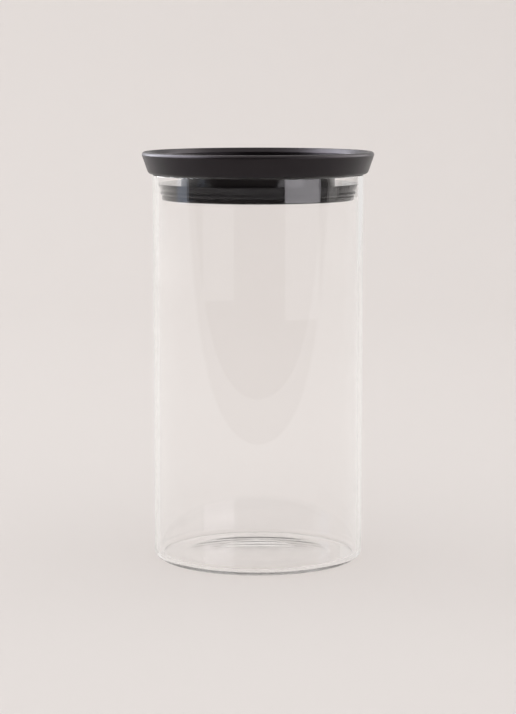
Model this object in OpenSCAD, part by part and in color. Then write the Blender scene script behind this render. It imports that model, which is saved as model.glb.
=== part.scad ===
// Stackable storage jar: a straight glass cylinder, closed by a push-in lid with a silicone seal.
// Units are millimetres. +Z is up and the origin is the middle of the surface that the jar stands on.

/* [Glass jar] */
// Outside diameter of the glass
jar_d = 100; // [94:1:104]
// Height of the glass from its foot to its rim
jar_h = 184; // [120:1:260]
// Thickness of the glass wall
wall_t = 2.4; // [2:0.1:3]
// Thickness of the glass floor
floor_t = 2.2; // [2:0.1:4]
// Outside radius of the rounded edge round the foot
foot_round = 4; // [3:0.5:6]
// Inside radius where the wall meets the floor
floor_round = 2.6; // [2:0.1:6]
// Rounding of the two edges of the rim
rim_round = 0.6; // [0.3:0.1:0.9]
// Diameter of the shallow dish in the floor
dish_d = 74; // [60:1:80]
// Depth of that dish
dish_depth = 0.6; // [0.2:0.1:1]
// Diameter of the flat hollow under the base
kick_d = 56; // [40:1:60]
// Height of that hollow
kick_h = 0.1; // [0.1:0.1:0.5]

/* [Lid] */
// Overhang of the lid's crest beyond the glass
overhang = 5; // [4.4:0.1:7]
// Height of the lid above the glass rim
cap_h = 10.5; // [9.5:0.5:13]
// Lean of the skirt, from upright
skirt_lean = 19; // [8:1:22]
// Rounding of the outer edge of the crest
crest_round = 1.4; // [0.8:0.1:1.8]
// Rounding of the lower edge of the skirt
skirt_round = 2.2; // [1:0.1:2.6]
// Depth of the recess in the top, where another jar's foot stands
recess_depth = 4.5; // [3.5:0.5:5]
// Radial gap round a foot that stands in the recess
stack_gap = 0.8; // [0.5:0.1:1]
// Thickness of the lid's moulded walls
shell_t = 1.8; // [1.4:0.1:2]

/* [Plug] */
// Depth that the plug reaches below the rim
plug_depth = 12; // [11:0.5:16]
// Radius of the plug where the seal sits on it
neck_r = 36.5; // [34:0.5:40]
// Gap between the plug's lower flange and the glass
flange_gap = 2; // [1:0.1:2.5]
// Thickness of the plug's lower flange
flange_t = 2; // [1.5:0.1:3]

/* [Seal] */
// Gap between the seal's upper lip and the glass
lip_gap = 0.1; // [0.05:0.05:0.3]
// Height of the seal on the plug
seal_h = 5.6; // [5:0.1:7]
// Gap between the foot of the seal's flared face and the glass
seal_body_gap = 1.7; // [1.3:0.1:2]
// Gap between the seal's lower bead and the glass
bead_gap = 1; // [0.6:0.1:1.1]

/* [Hidden] */
$fn = 160;

jar_r = jar_d / 2;
bore_r = jar_r - wall_t;
foot_r = jar_r - foot_round;
kick_r = kick_d / 2;
kick_slope = 9;
kick_steps = 6;
dish_r = dish_d / 2;
dish_steps = 12;

lid_r = jar_r + overhang;
top_z = jar_h + cap_h;
crest_r = lid_r - crest_round;
crest_z = top_z - crest_round;
skirt_arc_z = jar_h + skirt_round;
skirt_run = (crest_z - skirt_arc_z) * tan(skirt_lean);
skirt_arc_r = crest_r - skirt_run + (crest_round - skirt_round) / cos(skirt_lean);
recess_r = jar_r + stack_gap;
recess_z = top_z - recess_depth;
recess_straight = 0.55 * recess_depth;
inner_crest_round = 0.6;
inner_crest_r = crest_r - 0.5;
ceiling_z = recess_z - shell_t;

weld_gap = 0.1;
web_t = 2;
web_r = skirt_arc_r - 0.8;
web_z = jar_h + web_t;
rib_r = web_r - 5.6;
plug_z = jar_h - plug_depth;
groove_z = plug_z + flange_t;
flange_r = bore_r - flange_gap;
flange_round = 0.5;
plug_inner_r = neck_r - shell_t;

seal_fit = 0.05;
seal_inner_r = neck_r + seal_fit;
seal_z = groove_z + seal_fit;
seal_top_z = seal_z + seal_h;
seal_body_r = bore_r - seal_body_gap;
lip_r = bore_r - lip_gap;
lip_tip = 0.35;
bead_r = bore_r - bead_gap;
bead_round = 0.6;
bead_z = seal_z + 1.3;

// Points along an arc with its centre at [r, z], from angle a0 to angle a1
function arc(r, z, radius, a0, a1, steps = 8) = [
    for (i = [0:steps])
        let (a = a0 + (a1 - a0) * i / steps)
            [r + radius * cos(a), z + radius * sin(a)]
];

// Height of the underside of the glass on the slope round the hollow, t = 0 at the hollow, 1 at the foot ring
function kick(t) = kick_h * (1 + cos(180 * t)) / 2;

// One turned body from its half section
module turned(section) {
    rotate_extrude()
        polygon(section);
}

// Height of the floor inside the glass, with its smooth dish
function floor_height(r) = floor_t - dish_depth * (1 + cos(180 * r / dish_r)) / 2;

// Clear glass, one piece: foot ring, thin wall and fire-polished rim, with a shallow dish in its floor
module glass_jar() {
    color([0.86, 0.90, 0.90, 0.35])
        turned(concat(
            [[0, kick_h]],
            [for (i = [0:kick_steps]) let (t = i / kick_steps) [kick_r + kick_slope * t, kick(t)]],
            arc(foot_r, foot_round, foot_round, -90, 0),
            arc(jar_r - rim_round, jar_h - rim_round, rim_round, 0, 90, 5),
            arc(bore_r + rim_round, jar_h - rim_round, rim_round, 90, 180, 5),
            arc(bore_r - floor_round, floor_t + floor_round, floor_round, 0, -90),
            [for (i = [dish_steps:-1:0]) let (r = dish_r * i / dish_steps) [r, floor_height(r)]]
        ));
}

// Upper moulding of the lid: recessed top, rounded crest and flared skirt
module lid_cap() {
    color([0.17, 0.16, 0.17])
        turned(concat(
            [[0, ceiling_z], [rib_r, ceiling_z], [rib_r, web_z]],
            [[rib_r + web_t, web_z], [rib_r + web_t, ceiling_z], [web_r + weld_gap, ceiling_z]],
            [[web_r + weld_gap, jar_h]],
            arc(skirt_arc_r, skirt_arc_z, skirt_round, -90, -skirt_lean),
            arc(crest_r, crest_z, crest_round, -skirt_lean, 90),
            arc(inner_crest_r, top_z - inner_crest_round, inner_crest_round, 90, 160, 5),
            [[recess_r, recess_z + recess_straight], [recess_r, recess_z], [0, recess_z]]
        ));
}

// Lower moulding of the lid: a cup that hangs from the web resting on the glass rim
module lid_plug() {
    color([0.13, 0.13, 0.14])
        turned(concat(
            [[0, plug_z]],
            arc(flange_r - flange_round, plug_z + flange_round, flange_round, -90, 0, 4),
            arc(flange_r - flange_round, groove_z - flange_round, flange_round, 0, 90, 4),
            [[neck_r, groove_z], [neck_r, jar_h], [web_r, jar_h], [web_r, web_z]],
            [[plug_inner_r, web_z], [plug_inner_r, plug_z + shell_t], [0, plug_z + shell_t]]
        ));
}

// Silicone seal: a ring in the plug's groove, with a round lower bead and a face that flares up to its lip
module seal_ring() {
    color([0.42, 0.43, 0.45])
        turned(concat(
            [[seal_inner_r, seal_z], [seal_body_r - 0.6, seal_z], [seal_body_r, seal_z + 0.6]],
            arc(bead_r - bead_round, bead_z, bead_round, -70, 70, 6),
            [[seal_body_r, bead_z + 0.8]],
            arc(lip_r - lip_tip, seal_top_z - lip_tip, lip_tip, -25, 90, 5),
            [[seal_inner_r, seal_top_z]]
        ));
}

glass_jar();
lid_cap();
lid_plug();
seal_ring();
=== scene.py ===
"""Lidded glass canister: the looks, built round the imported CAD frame. Everything is in metres."""

import math

import bpy
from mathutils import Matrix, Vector


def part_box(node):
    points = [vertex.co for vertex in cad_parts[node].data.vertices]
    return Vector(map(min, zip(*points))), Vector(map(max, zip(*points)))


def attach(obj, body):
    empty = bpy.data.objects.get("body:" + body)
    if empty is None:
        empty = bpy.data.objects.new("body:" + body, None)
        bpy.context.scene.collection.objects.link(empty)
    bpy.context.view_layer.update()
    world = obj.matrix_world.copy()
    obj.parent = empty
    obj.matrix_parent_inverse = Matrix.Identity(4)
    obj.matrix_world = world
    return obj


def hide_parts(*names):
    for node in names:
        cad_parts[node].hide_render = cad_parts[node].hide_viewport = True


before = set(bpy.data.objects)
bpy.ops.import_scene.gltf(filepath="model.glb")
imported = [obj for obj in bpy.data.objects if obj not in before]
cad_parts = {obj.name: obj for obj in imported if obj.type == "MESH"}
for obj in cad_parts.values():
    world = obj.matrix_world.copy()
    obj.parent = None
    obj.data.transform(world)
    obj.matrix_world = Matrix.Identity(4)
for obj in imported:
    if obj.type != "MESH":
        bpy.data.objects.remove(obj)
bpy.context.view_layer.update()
MM = 0.001

# ---------------------------------------------------------------- sizes, from the frame
jar_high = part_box("glass_jar")[1]
cap_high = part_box("lid_cap")[1]
plug_low, plug_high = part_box("lid_plug")
seal_low, seal_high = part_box("seal_ring")

JAR_R, RIM_Z = jar_high.x, jar_high.z
LID_R, TOP_Z = cap_high.x, cap_high.z
WEB_R, WEB_Z = plug_high.x, plug_high.z
LIP_R = seal_high.x

# Sizes of the glass that its box doesn't show
WALL = 2.4 * MM
FLOOR = 2.2 * MM
FOOT_ROUND = 4.0 * MM
FLOOR_ROUND = 2.6 * MM
RIM_ROUND = 0.6 * MM
KICK = 0.1 * MM
KICK_R = 28 * MM
KICK_SLOPE = 9 * MM
DISH_R = 37 * MM
DISH = 0.6 * MM
BORE_R = JAR_R - WALL
# The rim stays this far below the lid that rests on it, so that the two faces don't coincide
LID_REST = 0.05 * MM

# Sizes of the lid's upper moulding
RECESS = 4.5 * MM
RECESS_R = JAR_R + 0.8 * MM
RECESS_WALL = 0.55 * RECESS
RECESS_BEND = 0.8 * MM
RECESS_FOOT = 0.4 * MM
CREST_ROUND = 1.4 * MM
CREST_WIDTH = 1.1 * MM
CREST_INNER_ROUND = 0.55 * MM
SKIRT_ROUND = 2.2 * MM
SKIRT_LEAN = math.radians(19)
SHELL = 1.8 * MM
HEM_R = WEB_R + 0.1 * MM
RIB_R = WEB_R - 5.6 * MM
RIB = 2 * MM
CAP_ROUND = 0.3 * MM
# Where the two mouldings meet, their edges are nearly sharp
NEARLY_SHARP = 0.15 * MM

# Sizes of the plug and of its seal
NECK_R = 36.5 * MM
FLANGE_R = BORE_R - 2.0 * MM
FLANGE = 2.0 * MM
PLUG_ROUND = 0.5 * MM
SEAL_INNER_R = NECK_R + 0.05 * MM
SEAL_BODY_R = BORE_R - 1.7 * MM
BEAD_R = BORE_R - 1.0 * MM
BEAD_Z = seal_low.z + 1.3 * MM
BEAD_BELOW = 0.75 * MM
BEAD_ABOVE = 0.9 * MM
BEAD_ROUND = 0.5 * MM
NOTCH_ROUND = 0.4 * MM
LIP_EDGE = 0.3 * MM
SEAL_ROUND = 0.2 * MM
SEAL_FOOT_ROUND = 0.6 * MM

# Fineness of the meshes
SEGMENTS = 256
WAVE_STEPS = 24
ARC_STEP = math.radians(3)
CARD_STEPS = 12
COVE_STEPS = 32

# Where the table's painted reflection in front of the jar turns dim, and how far from the jar it turns dark:
# a painted reflection of a dark room, seen only mirrored in the object
PAINTED_DIM_REFLECTION_Y = -0.42
PAINTED_DARK_REFLECTION_FROM = 2.9

# The colour sockets of a Mix node, which has other sockets of the same names
MIX_A, MIX_B, MIX_RESULT = 6, 7, 2


# ---------------------------------------------------------------- turned meshes
def rounded(corners):
    """Points (r, z, normal r, normal z) along an outline of corners (r, z, fillet).
    The outline runs anticlockwise round the solid, so its outward side is on the right."""
    points = []
    for i, (r, z, fillet) in enumerate(corners):
        if i in (0, len(corners) - 1):
            other = corners[1] if i == 0 else corners[-2]
            sign = 1 if i == 0 else -1
            run = math.hypot(other[0] - r, other[1] - z)
            points.append((r, z, sign * (other[1] - z) / run, -sign * (other[0] - r) / run))
            continue
        before = (r - corners[i - 1][0], z - corners[i - 1][1])
        after = (corners[i + 1][0] - r, corners[i + 1][1] - z)
        a0 = math.atan2(before[1], before[0]) - math.pi / 2
        turn = math.atan2(after[1], after[0]) - math.pi / 2 - a0
        turn = (turn + math.pi) % (2 * math.pi) - math.pi
        side = 1 if turn > 0 else -1
        reach = fillet * math.tan(abs(turn) / 2)
        length = math.hypot(*before)
        start = (r - before[0] / length * reach, z - before[1] / length * reach)
        centre = (start[0] - side * fillet * math.cos(a0), start[1] - side * fillet * math.sin(a0))
        steps = max(3, round(abs(turn) / ARC_STEP))
        for k in range(steps + 1):
            a = a0 + turn * k / steps
            n = (math.cos(a), math.sin(a))
            points.append((centre[0] + side * fillet * n[0], centre[1] + side * fillet * n[1], *n))
    return points


def wave(r0, z0, r1, z1, steps, up):
    """Points (r, z, normal r, normal z) of a smooth half wave from (r0, z0) to (r1, z1).
    The surface faces up where up is 1, and down where it is -1."""
    points = []
    for k in range(steps + 1):
        t = k / steps
        slope = (z1 - z0) * math.pi / 2 * math.sin(math.pi * t) / (r1 - r0)
        size = math.hypot(1, slope)
        z = z0 + (z1 - z0) * (1 - math.cos(math.pi * t)) / 2
        points.append((r0 + (r1 - r0) * t, z, -up * slope / size, up / size))
    return points


def lathe(name, outline):
    """A closed turned mesh, with exact normals, from outline points (r, z, normal r, normal z)."""
    verts, normals, rings = [], [], []
    for r, z, nr, nz in outline:
        if r < 1e-7:
            rings.append([len(verts)])
            verts.append((0, 0, z))
            normals.append((0, 0, math.copysign(1, nz)))
            continue
        rings.append(range(len(verts), len(verts) + SEGMENTS))
        for s in range(SEGMENTS):
            a = 2 * math.pi * s / SEGMENTS
            verts.append((r * math.cos(a), r * math.sin(a), z))
            normals.append((nr * math.cos(a), nr * math.sin(a), nz))
    faces = []
    pairs = list(zip(rings, rings[1:]))
    if len(rings[0]) > 1:
        pairs.append((rings[-1], rings[0]))
    for low, high in pairs:
        for s in range(SEGMENTS):
            t = (s + 1) % SEGMENTS
            face = [low[s], low[t]] if len(low) > 1 else [low[0]]
            face += [high[t], high[s]] if len(high) > 1 else [high[0]]
            faces.append(face)
    mesh = bpy.data.meshes.new(name)
    mesh.from_pydata(verts, [], faces)
    mesh.shade_smooth()
    mesh.normals_split_custom_set_from_vertices(normals)
    obj = bpy.data.objects.new(name, mesh)
    bpy.context.scene.collection.objects.link(obj)
    return obj


# ---------------------------------------------------------------- materials
def material(name):
    mat = bpy.data.materials.new(name)
    mat.use_nodes = True
    nodes, links = mat.node_tree.nodes, mat.node_tree.links
    return mat, nodes, links, nodes["Principled BSDF"]


def grain(nodes, links, shader, scale, strength, distance):
    """A fine moulded grain as bump."""
    coords = nodes.new("ShaderNodeTexCoord")
    noise = nodes.new("ShaderNodeTexNoise")
    noise.inputs["Scale"].default_value = scale
    noise.inputs["Detail"].default_value = 2.0
    bump = nodes.new("ShaderNodeBump")
    bump.inputs["Strength"].default_value = strength
    bump.inputs["Distance"].default_value = distance
    links.new(coords.outputs["Object"], noise.inputs["Vector"])
    links.new(noise.outputs["Fac"], bump.inputs["Height"])
    links.new(bump.outputs["Normal"], shader.inputs["Normal"])
    return coords


def varied(nodes, links, coords, scale, low, high):
    """A number that drifts between low and high over the surface."""
    noise = nodes.new("ShaderNodeTexNoise")
    noise.inputs["Scale"].default_value = scale
    noise.inputs["Detail"].default_value = 4.0
    span = nodes.new("ShaderNodeMapRange")
    span.inputs["From Min"].default_value = 0.3
    span.inputs["From Max"].default_value = 0.7
    span.inputs["To Min"].default_value = low
    span.inputs["To Max"].default_value = high
    links.new(coords.outputs["Object"], noise.inputs["Vector"])
    links.new(noise.outputs["Fac"], span.inputs["Value"])
    return span.outputs["Result"]


def clear_glass():
    mat, nodes, links, shader = material("clear_glass")
    shader.inputs["Base Color"].default_value = (1.0, 0.998, 0.996, 1)
    shader.inputs["Transmission Weight"].default_value = 1.0
    shader.inputs["IOR"].default_value = 1.48
    shader.inputs["Roughness"].default_value = 0.0
    # light that falls on a matt surface through the glass goes straight through, and isn't bent
    unbent = nodes.new("ShaderNodeBsdfTransparent")
    unbent.inputs["Color"].default_value = (0.98, 0.975, 0.972, 1)
    path = nodes.new("ShaderNodeLightPath")
    shown = shader.outputs["BSDF"]
    for ray in ("Is Diffuse Ray", "Is Shadow Ray"):
        mix = nodes.new("ShaderNodeMixShader")
        links.new(path.outputs[ray], mix.inputs["Fac"])
        links.new(shown, mix.inputs[1])
        links.new(unbent.outputs["BSDF"], mix.inputs[2])
        shown = mix.outputs["Shader"]
    links.new(shown, nodes["Material Output"].inputs["Surface"])
    return mat


def matt_plastic():
    mat, nodes, links, shader = material("matt_anthracite")
    shader.inputs["Base Color"].default_value = (0.0058, 0.0048, 0.0054, 1)
    shader.inputs["Specular IOR Level"].default_value = 0.30
    shader.inputs["Specular Tint"].default_value = (1.0, 0.90, 0.97, 1)
    coords = grain(nodes, links, shader, 5200, 0.25, 0.00004)
    links.new(varied(nodes, links, coords, 60, 0.32, 0.38), shader.inputs["Roughness"])
    return mat


def plug_plastic():
    mat, nodes, links, shader = material("smooth_anthracite")
    shader.inputs["Base Color"].default_value = (0.005, 0.0045, 0.0045, 1)
    coords = grain(nodes, links, shader, 2600, 0.08, 0.00003)
    links.new(varied(nodes, links, coords, 90, 0.14, 0.20), shader.inputs["Roughness"])
    return mat


def silicone():
    mat, nodes, links, shader = material("smoky_silicone")
    shader.inputs["Base Color"].default_value = (0.007, 0.0068, 0.0085, 1)
    shader.inputs["IOR"].default_value = 1.40
    coords = grain(nodes, links, shader, 900, 0.05, 0.00003)
    links.new(varied(nodes, links, coords, 70, 0.05, 0.09), shader.inputs["Roughness"])
    return mat


# ---------------------------------------------------------------- the pieces
def glass_jar():
    rim_z = RIM_Z - LID_REST
    kick = wave(KICK_R, KICK, KICK_R + KICK_SLOPE, 0, WAVE_STEPS, -1)
    wall = rounded([
        (KICK_R + KICK_SLOPE, 0, 0),
        (JAR_R, 0, FOOT_ROUND),
        (JAR_R, rim_z, RIM_ROUND),
        (BORE_R, rim_z, RIM_ROUND),
        (BORE_R, FLOOR, FLOOR_ROUND),
        (DISH_R, FLOOR, 0),
    ])
    dish = wave(DISH_R, FLOOR, 0, FLOOR - DISH, 2 * WAVE_STEPS, 1)
    # the wall's end points are already the last of the kick and the first of the dish
    return lathe("jar_glass", [(0, KICK, 0, -1)] + kick + wall[1:-1] + dish)


def lid_cap():
    crest_r = LID_R - CREST_ROUND
    crest_z = TOP_Z - CREST_ROUND
    low_z = RIM_Z + SKIRT_ROUND
    skirt_r = crest_r - (crest_z - low_z) * math.tan(SKIRT_LEAN)
    skirt_r += (CREST_ROUND - SKIRT_ROUND) / math.cos(SKIRT_LEAN)
    # where the straight face of the skirt would meet the foot and the top if its edges weren't rounded
    foot_r = skirt_r + SKIRT_ROUND / math.cos(SKIRT_LEAN) - SKIRT_ROUND * math.tan(SKIRT_LEAN)
    head_r = crest_r + CREST_ROUND / math.cos(SKIRT_LEAN) + CREST_ROUND * math.tan(SKIRT_LEAN)
    recess_z = TOP_Z - RECESS
    ceiling_z = recess_z - SHELL
    return lathe("lid_top", rounded([
        (0, ceiling_z, 0),
        (RIB_R, ceiling_z, CAP_ROUND),
        (RIB_R, WEB_Z, CAP_ROUND),
        (RIB_R + RIB, WEB_Z, CAP_ROUND),
        (RIB_R + RIB, ceiling_z, CAP_ROUND),
        (HEM_R, ceiling_z, CAP_ROUND),
        (HEM_R, RIM_Z, NEARLY_SHARP),
        (foot_r, RIM_Z, SKIRT_ROUND),
        (head_r, TOP_Z, CREST_ROUND),
        (crest_r - CREST_WIDTH, TOP_Z, CREST_INNER_ROUND),
        (RECESS_R, recess_z + RECESS_WALL, RECESS_BEND),
        (RECESS_R, recess_z, RECESS_FOOT),
        (0, recess_z, 0),
    ]))


def lid_plug():
    groove_z = plug_low.z + FLANGE
    return lathe("lid_plug_shell", rounded([
        (0, plug_low.z, 0),
        (FLANGE_R, plug_low.z, PLUG_ROUND),
        (FLANGE_R, groove_z, PLUG_ROUND),
        (NECK_R, groove_z, NEARLY_SHARP),
        (NECK_R, RIM_Z, NEARLY_SHARP),
        (WEB_R, RIM_Z, NEARLY_SHARP),
        (WEB_R, WEB_Z, NEARLY_SHARP),
        (NECK_R - SHELL, WEB_Z, NEARLY_SHARP),
        (NECK_R - SHELL, plug_low.z + SHELL, PLUG_ROUND),
        (0, plug_low.z + SHELL, 0),
    ]))


def seal_ring():
    low, high = seal_low.z, seal_high.z
    middle = (SEAL_INNER_R, (low + high) / 2, 0)
    outline = rounded([
        middle,
        (SEAL_INNER_R, low, SEAL_ROUND),
        (SEAL_BODY_R, low, SEAL_FOOT_ROUND),
        (SEAL_BODY_R, BEAD_Z - BEAD_BELOW, SEAL_ROUND),
        (BEAD_R, BEAD_Z, BEAD_ROUND),
        (SEAL_BODY_R, BEAD_Z + BEAD_ABOVE, NOTCH_ROUND),
        (LIP_R, high - LIP_EDGE, SEAL_ROUND),
        (LIP_R, high, SEAL_ROUND),
        (SEAL_INNER_R, high, SEAL_ROUND),
        middle,
    ])
    # the outline ends where it begins, and the ring needs that point once
    return lathe("seal_lip_ring", outline[:-1])


def place(piece, body, slot, replaced, mat):
    piece.data.materials.append(mat)
    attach(piece, body)
    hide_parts(replaced)


place(glass_jar(), "jar", "glass", "glass_jar", clear_glass())
place(lid_cap(), "lid", "lid_plastic", "lid_cap", matt_plastic())
place(lid_plug(), "lid", "plug_plastic", "lid_plug", plug_plastic())
place(seal_ring(), "lid", "silicone", "seal_ring", silicone())


# ---------------------------------------------------------------- stage, lights and camera
def compared(nodes, links, source, operation, limit):
    """1 where the comparison of source with limit holds, otherwise 0."""
    test = nodes.new("ShaderNodeMath")
    test.operation = operation
    test.inputs[1].default_value = limit
    links.new(source, test.inputs[0])
    return test.outputs["Value"]


def product(nodes, links, first, second):
    both = nodes.new("ShaderNodeMath")
    both.operation = "MULTIPLY"
    links.new(first, both.inputs[0])
    links.new(second, both.inputs[1])
    return both.outputs["Value"]


def only_reflected(nodes, links):
    """1 for light that has been mirrored by the object on its way to the camera, otherwise 0."""
    path = nodes.new("ShaderNodeLightPath")
    return compared(nodes, links, path.outputs["Glossy Depth"], "GREATER_THAN", 0.5)


def layered(nodes, links, base, layers):
    """The base colour, and over it the colour of each layer (factor, colour) where its factor is 1."""
    below = None
    for factor, colour in layers:
        mix = nodes.new("ShaderNodeMix")
        mix.data_type = "RGBA"
        mix.inputs[MIX_A].default_value = base
        mix.inputs[MIX_B].default_value = colour
        links.new(factor, mix.inputs["Factor"])
        if below is not None:
            links.new(below, mix.inputs[MIX_A])
        below = mix.outputs[MIX_RESULT]
    return below


def paper():
    """Pale paper, with a painted reflection: only where it is seen mirrored in the object is its colour
    painted lighter, dim in front of the jar and dark far from it.
    """
    mat, nodes, links, shader = material("table_paper_painted_reflection")
    shader.inputs["Roughness"].default_value = 0.9
    shader.inputs["Specular IOR Level"].default_value = 0
    position = nodes.new("ShaderNodeNewGeometry")
    split = nodes.new("ShaderNodeSeparateXYZ")
    links.new(position.outputs["Position"], split.inputs["Vector"])
    distance = nodes.new("ShaderNodeVectorMath")
    distance.operation = "LENGTH"
    links.new(position.outputs["Position"], distance.inputs[0])
    front = compared(nodes, links, split.outputs["Y"], "LESS_THAN", PAINTED_DIM_REFLECTION_Y)
    far = compared(nodes, links, distance.outputs["Value"], "GREATER_THAN", PAINTED_DARK_REFLECTION_FROM)
    mirrored = only_reflected(nodes, links)
    dim = product(nodes, links, front, mirrored)
    # painted reflection: seen only mirrored in the object, the table is painted lighter, dim in front of the
    # jar and dark far from it
    colour = layered(nodes, links, (0.80, 0.775, 0.765, 1), [
        (mirrored, (0.96, 0.945, 0.935, 1)),
        (dim, (0.54, 0.49, 0.46, 1)),
        (product(nodes, links, dim, far), (0.075, 0.065, 0.07, 1)),
    ])
    links.new(colour, shader.inputs["Base Color"])
    return mat


def staged(name, verts, faces, mat):
    mesh = bpy.data.meshes.new(name)
    mesh.from_pydata(verts, [], faces)
    mesh.shade_smooth()
    obj = bpy.data.objects.new(name, mesh)
    obj.data.materials.append(mat)
    bpy.context.scene.collection.objects.link(obj)


def sweep():
    """A pale table that curves up into a wall behind the jar and in front of it."""
    cove_r, top, half_width, gap = 0.9, 3.0, 12.0, 0.1 * MM
    back_y, front_y = 1.1, -3.0
    cove = []
    for k in range(COVE_STEPS + 1):
        a = math.pi / 2 * k / COVE_STEPS
        cove.append((cove_r * math.sin(a), cove_r * (1 - math.cos(a))))
    back = [(back_y + y, z) for y, z in cove] + [(back_y + cove_r, top)]
    front = [(front_y - y, z) for y, z in cove] + [(front_y - cove_r, top)]
    # the point at PAINTED_DIM_REFLECTION_Y holds the smoothed shading of the flat part level
    outline = front[::-1] + [(PAINTED_DIM_REFLECTION_Y, 0)] + back
    verts = [(x, y, z - gap) for x in (-half_width, half_width) for y, z in outline]
    n = len(outline)
    staged("table", verts, [(i + 1, i, n + i, n + i + 1) for i in range(n - 1)], paper())


def glowing(name, colour, glow, lid_only):
    """A lit surface that shows only mirrored in the object.
    With lid_only it doesn't show through the glass."""
    mat, nodes, links, shader = material(name)
    # it isn't sampled as a lamp, because it shows only to rays that the object has mirrored
    mat.cycles.emission_sampling = "NONE"
    shader.inputs["Base Color"].default_value = (0, 0, 0, 1)
    shader.inputs["Specular IOR Level"].default_value = 0
    shader.inputs["Emission Color"].default_value = (*colour, 1)
    shader.inputs["Emission Strength"].default_value = glow
    clear = nodes.new("ShaderNodeBsdfTransparent")
    mix = nodes.new("ShaderNodeMixShader")
    path = nodes.new("ShaderNodeLightPath")
    direct = compared(nodes, links, path.outputs["Diffuse Depth"], "LESS_THAN", 0.5)
    shown = product(nodes, links, only_reflected(nodes, links), direct)
    if lid_only:
        outside = compared(nodes, links, path.outputs["Transmission Depth"], "LESS_THAN", 0.5)
        shown = product(nodes, links, shown, outside)
    links.new(shown, mix.inputs["Fac"])
    links.new(clear.outputs["BSDF"], mix.inputs[1])
    links.new(shader.outputs["BSDF"], mix.inputs[2])
    links.new(mix.outputs["Shader"], nodes["Material Output"].inputs["Surface"])
    return mat


def card(name, azimuths, heights, distance, colour, glow, lid_only=False):
    """An upright lit card, bent round the jar between two azimuths and two heights.
    An azimuth of 0 is towards the camera, and 90 is to the camera's right."""
    verts = []
    for k in range(CARD_STEPS + 1):
        a = math.radians(azimuths[0] + (azimuths[1] - azimuths[0]) * k / CARD_STEPS)
        verts += [(distance * math.sin(a), -distance * math.cos(a), z) for z in heights]
    faces = [(i, i + 2, i + 3, i + 1) for i in range(0, 2 * CARD_STEPS, 2)]
    staged(name, verts, faces, glowing(name, colour, glow, lid_only))


def key_lamp():
    """A soft lamp to the left of the jar, behind it. It lights the stage, but it isn't seen or mirrored."""
    data = bpy.data.lights.new("key", "AREA")
    data.shape = "RECTANGLE"
    data.size, data.size_y = 1.4, 1.2
    data.energy = 5
    obj = bpy.data.objects.new("key", data)
    place, aim = Vector((-1.5, 0.7, 1.3)), Vector((0, 0, 0.1))
    obj.location = place
    obj.rotation_euler = (aim - place).to_track_quat("-Z", "Y").to_euler()
    obj.visible_camera = False
    obj.visible_glossy = False
    obj.visible_transmission = False
    bpy.context.scene.collection.objects.link(obj)


def lights():
    world = bpy.data.worlds.new("studio")
    world.use_nodes = True
    background = world.node_tree.nodes["Background"]
    background.inputs["Color"].default_value = (1.0, 0.975, 0.955, 1)
    background.inputs["Strength"].default_value = 1.04
    bpy.context.scene.world = world
    key_lamp()
    card("softbox_right", (29, 70), (0.111, 0.40), 1.10, (0.99, 0.95, 1.0), 2.4)
    card("reflector_right", (29, 70), (0.0, 0.111), 1.12, (1.0, 0.96, 0.94), 0.90)
    card("softbox_left", (-165, -105), (0.125, 1.0), 1.5, (1.0, 0.98, 0.96), 1.0)
    card("window_left", (-98, -82), (0.085, 1.0), 1.5, (0.84, 0.92, 1.1), 1.2)
    card("lantern_left", (-142, -66), (0.125, 2.4), 1.4, (0.96, 0.97, 1.05), 8.5, lid_only=True)
    card("flag_right", (97, 139), (0.094, 0.3), 1.45, (1.0, 0.95, 0.92), 0.30)
    card("softbox_back_right", (143, 172), (0.0, 1.0), 1.5, (1.0, 0.98, 0.96), 0.80)
    card("lantern_right", (75, 135), (0.125, 2.0), 1.4, (1.0, 0.97, 0.98), 4.2, lid_only=True)


def camera():
    """A long lens about a metre from the jar, looking slightly down."""
    look_down = 7.28
    data = bpy.data.cameras.new("camera")
    data.lens = 113.1
    data.sensor_width = 36.0
    obj = bpy.data.objects.new("camera", data)
    obj.location = (0, -1.066, 0.2325)
    obj.rotation_euler = (math.radians(90 - look_down), 0, 0)
    bpy.context.scene.collection.objects.link(obj)
    bpy.context.scene.camera = obj


def render_settings():
    scene = bpy.context.scene
    scene.view_settings.view_transform = "Standard"
    # light goes round many times inside the floor and the foot of the glass before it comes out
    scene.cycles.max_bounces = 128
    scene.cycles.glossy_bounces = 96
    scene.cycles.transmission_bounces = 96
    scene.cycles.transparent_max_bounces = 24


sweep()
lights()
camera()
render_settings()
